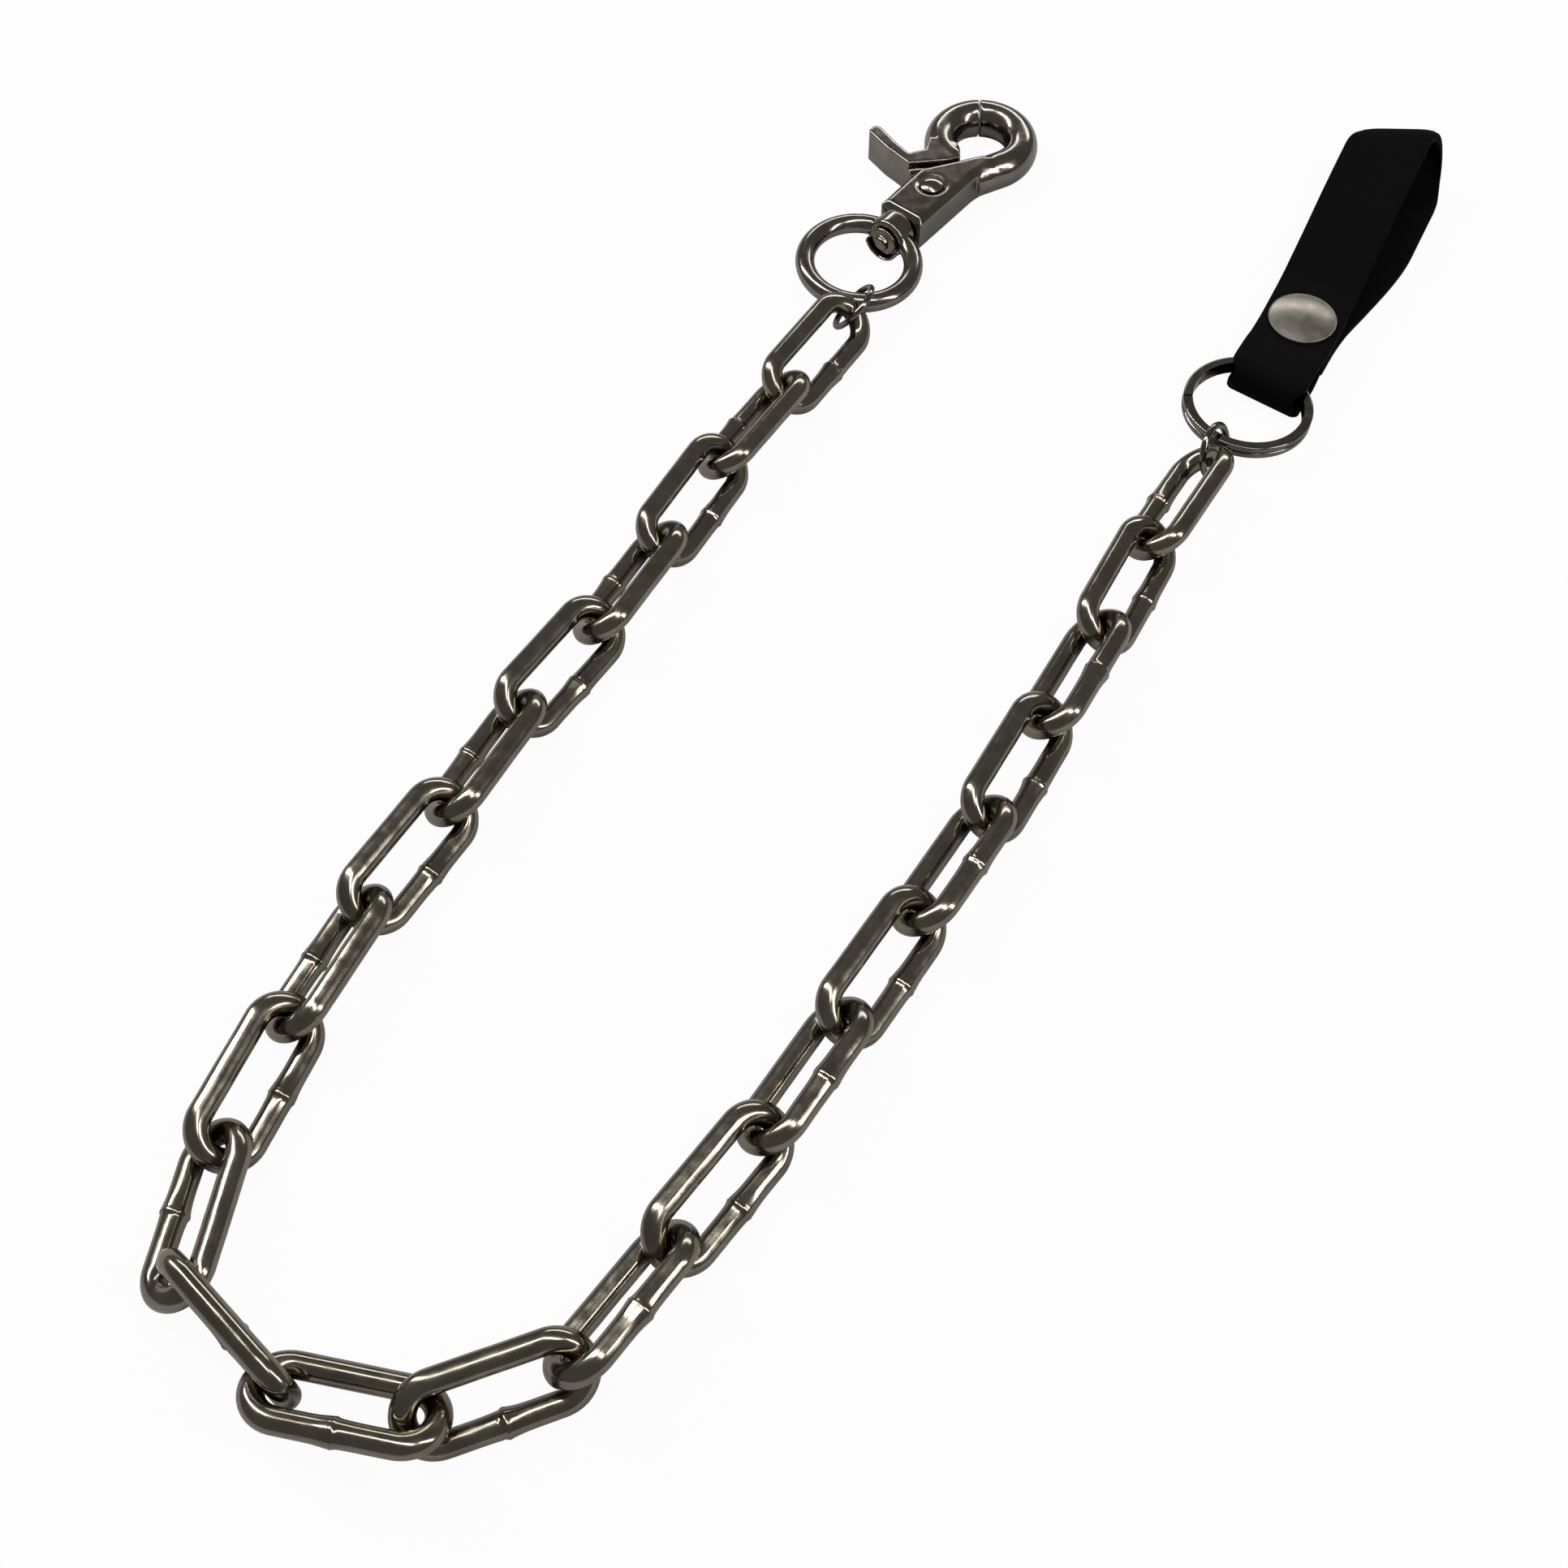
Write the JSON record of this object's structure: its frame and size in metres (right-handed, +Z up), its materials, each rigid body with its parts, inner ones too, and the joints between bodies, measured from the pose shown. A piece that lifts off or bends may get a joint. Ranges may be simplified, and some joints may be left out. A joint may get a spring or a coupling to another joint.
{
  "type": "wallet chain",
  "caption": "Wallet chain of long dark metal links with a swivel trigger hook at one end and a leather belt loop on a split ring at the other.",
  "frame": {"origin": "centre of the bounding box, on the surface that the chain lies on", "axes": "+Z up from the surface; +Y away from the bend of the chain, towards the hook and the belt loop; +X towards the belt loop side"},
  "size_m": [0.2592, 0.3204, 0.0177],
  "materials": {
    "dark_nickel": "polished dark nickel plate",
    "satin_nickel": "satin nickel plate",
    "spring_steel": "bright",
    "black_leather": "matte"
  },
  "bodies": {
    "link_12": {"link_12": "dark_nickel"},
    "link_01": {"link_01": "dark_nickel"},
    "link_02": {"link_02": "dark_nickel"},
    "link_03": {"link_03": "dark_nickel"},
    "link_04": {"link_04": "dark_nickel"},
    "link_05": {"link_05": "dark_nickel"},
    "link_06": {"link_06": "dark_nickel"},
    "link_07": {"link_07": "dark_nickel"},
    "link_08": {"link_08": "dark_nickel"},
    "link_09": {"link_09": "dark_nickel"},
    "link_10": {"link_10": "dark_nickel"},
    "link_11": {"link_11": "dark_nickel"},
    "link_13": {"link_13": "dark_nickel"},
    "link_14": {"link_14": "dark_nickel"},
    "link_15": {"link_15": "dark_nickel"},
    "link_16": {"link_16": "dark_nickel"},
    "link_17": {"link_17": "dark_nickel"},
    "link_18": {"link_18": "dark_nickel"},
    "link_19": {"link_19": "dark_nickel"},
    "link_20": {"link_20": "dark_nickel"},
    "link_21": {"link_21": "dark_nickel"},
    "link_22": {"link_22": "dark_nickel"},
    "hook_ring": {"jump_ring_hook": "dark_nickel"},
    "swivel": {"swivel_eye": "dark_nickel"},
    "hook": {"hook_body": "dark_nickel", "trigger_rivet": "dark_nickel", "trigger_spring": "spring_steel"},
    "trigger": {"trigger": "dark_nickel"},
    "strap_ring": {"jump_ring_strap": "dark_nickel"},
    "key_ring": {"split_ring": "dark_nickel"},
    "belt_loop": {"strap": "black_leather", "snap_cap": "satin_nickel", "snap_socket": "satin_nickel"},
    "loop_tongue": {"strap_tongue": "black_leather", "snap_stud": "satin_nickel", "snap_post": "satin_nickel"}
  },
  "joints": [
    {"name": "link_11_swing", "type": "hinge", "parent": "link_12", "child": "link_11", "pos_m": [-0.10671, -0.14708, 0.00834], "axis": [0.4079, 0.8177, -0.4062], "range_deg": [-5, 5]},
    {"name": "link_10_swing", "type": "hinge", "parent": "link_11", "child": "link_10", "pos_m": [-0.12334, -0.12854, 0.00823], "axis": [-0.0194, 0.0068, 0.9998], "range_deg": [-8, 6]},
    {"name": "link_09_swing", "type": "hinge", "parent": "link_10", "child": "link_09", "pos_m": [-0.11878, -0.10423, 0.00552], "axis": [-0.8223, 0.2054, -0.5307], "range_deg": [-30, 5]},
    {"name": "link_08_swing", "type": "hinge", "parent": "link_09", "child": "link_08", "pos_m": [-0.10932, -0.08128, 0.00587], "axis": [-0.7129, 0.31, 0.6291], "range_deg": [-45, 28]},
    {"name": "link_07_swing", "type": "hinge", "parent": "link_08", "child": "link_07", "pos_m": [-0.09826, -0.05862, 0.00618], "axis": [0.6736, -0.3657, 0.6423], "range_deg": [-45, 30]},
    {"name": "link_06_swing", "type": "hinge", "parent": "link_07", "child": "link_06", "pos_m": [-0.08509, -0.03713, 0.00611], "axis": [0.6635, -0.3831, -0.6427], "range_deg": [-45, 30]},
    {"name": "link_05_swing", "type": "hinge", "parent": "link_06", "child": "link_05", "pos_m": [-0.07297, -0.01504, 0.00617], "axis": [-0.6552, 0.3976, -0.6424], "range_deg": [-40, 45]},
    {"name": "link_04_swing", "type": "hinge", "parent": "link_05", "child": "link_04", "pos_m": [-0.05902, 0.00572, 0.00614], "axis": [-0.6516, 0.4032, 0.6425], "range_deg": [-45, 45]},
    {"name": "link_03_swing", "type": "hinge", "parent": "link_04", "child": "link_03", "pos_m": [-0.04699, 0.02718, 0.00602], "axis": [0.6684, -0.3743, 0.6428], "range_deg": [-45, 45]},
    {"name": "link_02_swing", "type": "hinge", "parent": "link_03", "child": "link_02", "pos_m": [-0.03488, 0.04882, 0.00594], "axis": [0.6568, -0.3946, -0.6426], "range_deg": [-45, 45]},
    {"name": "link_01_swing", "type": "hinge", "parent": "link_02", "child": "link_01", "pos_m": [-0.02147, 0.06933, 0.00604], "axis": [-0.6425, 0.4172, -0.6428], "range_deg": [-45, 45]},
    {"name": "link_13_swing", "type": "hinge", "parent": "link_12", "child": "link_13", "pos_m": [-0.07766, -0.15267, 0.00672], "axis": [-0.0915, 0.92, -0.3811], "range_deg": [-5, 8]},
    {"name": "link_14_swing", "type": "hinge", "parent": "link_13", "child": "link_14", "pos_m": [-0.05532, -0.143, 0.00683], "axis": [-0.429, 0.6182, 0.6586], "range_deg": [-45, 45]},
    {"name": "link_15_swing", "type": "hinge", "parent": "link_14", "child": "link_15", "pos_m": [-0.04046, -0.12255, 0.00617], "axis": [0.5779, -0.418, 0.7009], "range_deg": [-45, 45]},
    {"name": "link_16_swing", "type": "hinge", "parent": "link_15", "child": "link_16", "pos_m": [-0.02516, -0.10254, 0.00613], "axis": [0.6238, -0.445, -0.6426], "range_deg": [-45, 40]},
    {"name": "link_17_swing", "type": "hinge", "parent": "link_16", "child": "link_17", "pos_m": [-0.01129, -0.08149, 0.00604], "axis": [-0.6388, 0.4228, -0.6428], "range_deg": [-45, 45]},
    {"name": "link_18_swing", "type": "hinge", "parent": "link_17", "child": "link_18", "pos_m": [0.00261, -0.06046, 0.00605], "axis": [-0.6406, 0.42, 0.6428], "range_deg": [-45, 45]},
    {"name": "link_19_swing", "type": "hinge", "parent": "link_18", "child": "link_19", "pos_m": [0.01626, -0.03928, 0.00596], "axis": [0.6533, -0.4003, 0.6427], "range_deg": [-45, 45]},
    {"name": "link_20_swing", "type": "hinge", "parent": "link_19", "child": "link_20", "pos_m": [0.02882, -0.01743, 0.00604], "axis": [0.6634, -0.383, -0.6428], "range_deg": [-45, 45]},
    {"name": "link_21_swing", "type": "hinge", "parent": "link_20", "child": "link_21", "pos_m": [0.04138, 0.00441, 0.006], "axis": [-0.6684, 0.3743, -0.6428], "range_deg": [-45, 45]},
    {"name": "link_22_swing", "type": "hinge", "parent": "link_21", "child": "link_22", "pos_m": [0.05349, 0.02651, 0.00594], "axis": [-0.6602, 0.3889, 0.6426], "range_deg": [-45, 45]},
    {"name": "hook_ring_swing", "type": "hinge", "parent": "link_01", "child": "hook_ring", "pos_m": [-0.0079, 0.09021, 0.00604], "axis": [0.6425, -0.4172, -0.6428], "range_deg": [-50, 50]},
    {"name": "swivel_eye_swing", "type": "hinge", "parent": "hook_ring", "child": "swivel", "pos_m": [-0.00743, 0.09469, 0.00449], "axis": [0.9936, -0.1038, -0.0436], "range_deg": [-50, 50]},
    {"name": "hook_swivel", "type": "hinge", "parent": "swivel", "child": "hook", "pos_m": [0.01105, 0.12785, 0.00485], "axis": [0.6361, 0.7716, 0], "continuous": true},
    {"name": "trigger_pull", "type": "hinge", "parent": "hook", "child": "trigger", "pos_m": [0.01105, 0.12785, 0.00485], "axis": [0, 0, 1], "range_deg": [0, 35], "stiffness_Nm_per_rad": 0.002, "springref_deg": -17.19, "deforming": ["trigger_spring"]},
    {"name": "strap_ring_swing", "type": "hinge", "parent": "link_22", "child": "strap_ring", "pos_m": [0.06708, 0.04774, 0.00604], "axis": [-0.6461, 0.4116, -0.6428], "range_deg": [-50, 30]},
    {"name": "key_ring_swing", "type": "hinge", "parent": "strap_ring", "child": "key_ring", "pos_m": [0.06964, 0.05161, 0.00584], "axis": [-0.8339, 0.5519, 0], "range_deg": [-30, 30]},
    {"name": "belt_loop_slide", "type": "hinge", "parent": "key_ring", "child": "belt_loop", "pos_m": [0.07681, 0.06244, 0.00528], "axis": [0.0241, 0.0364, 0.999], "range_deg": [-60, 40]},
    {"name": "snap_open", "type": "hinge", "parent": "belt_loop", "child": "loop_tongue", "pos_m": [0.12192, 0.14606, 0.00935], "axis": [0.887, -0.4617, 0], "range_deg": [0, 80]}
  ]
}
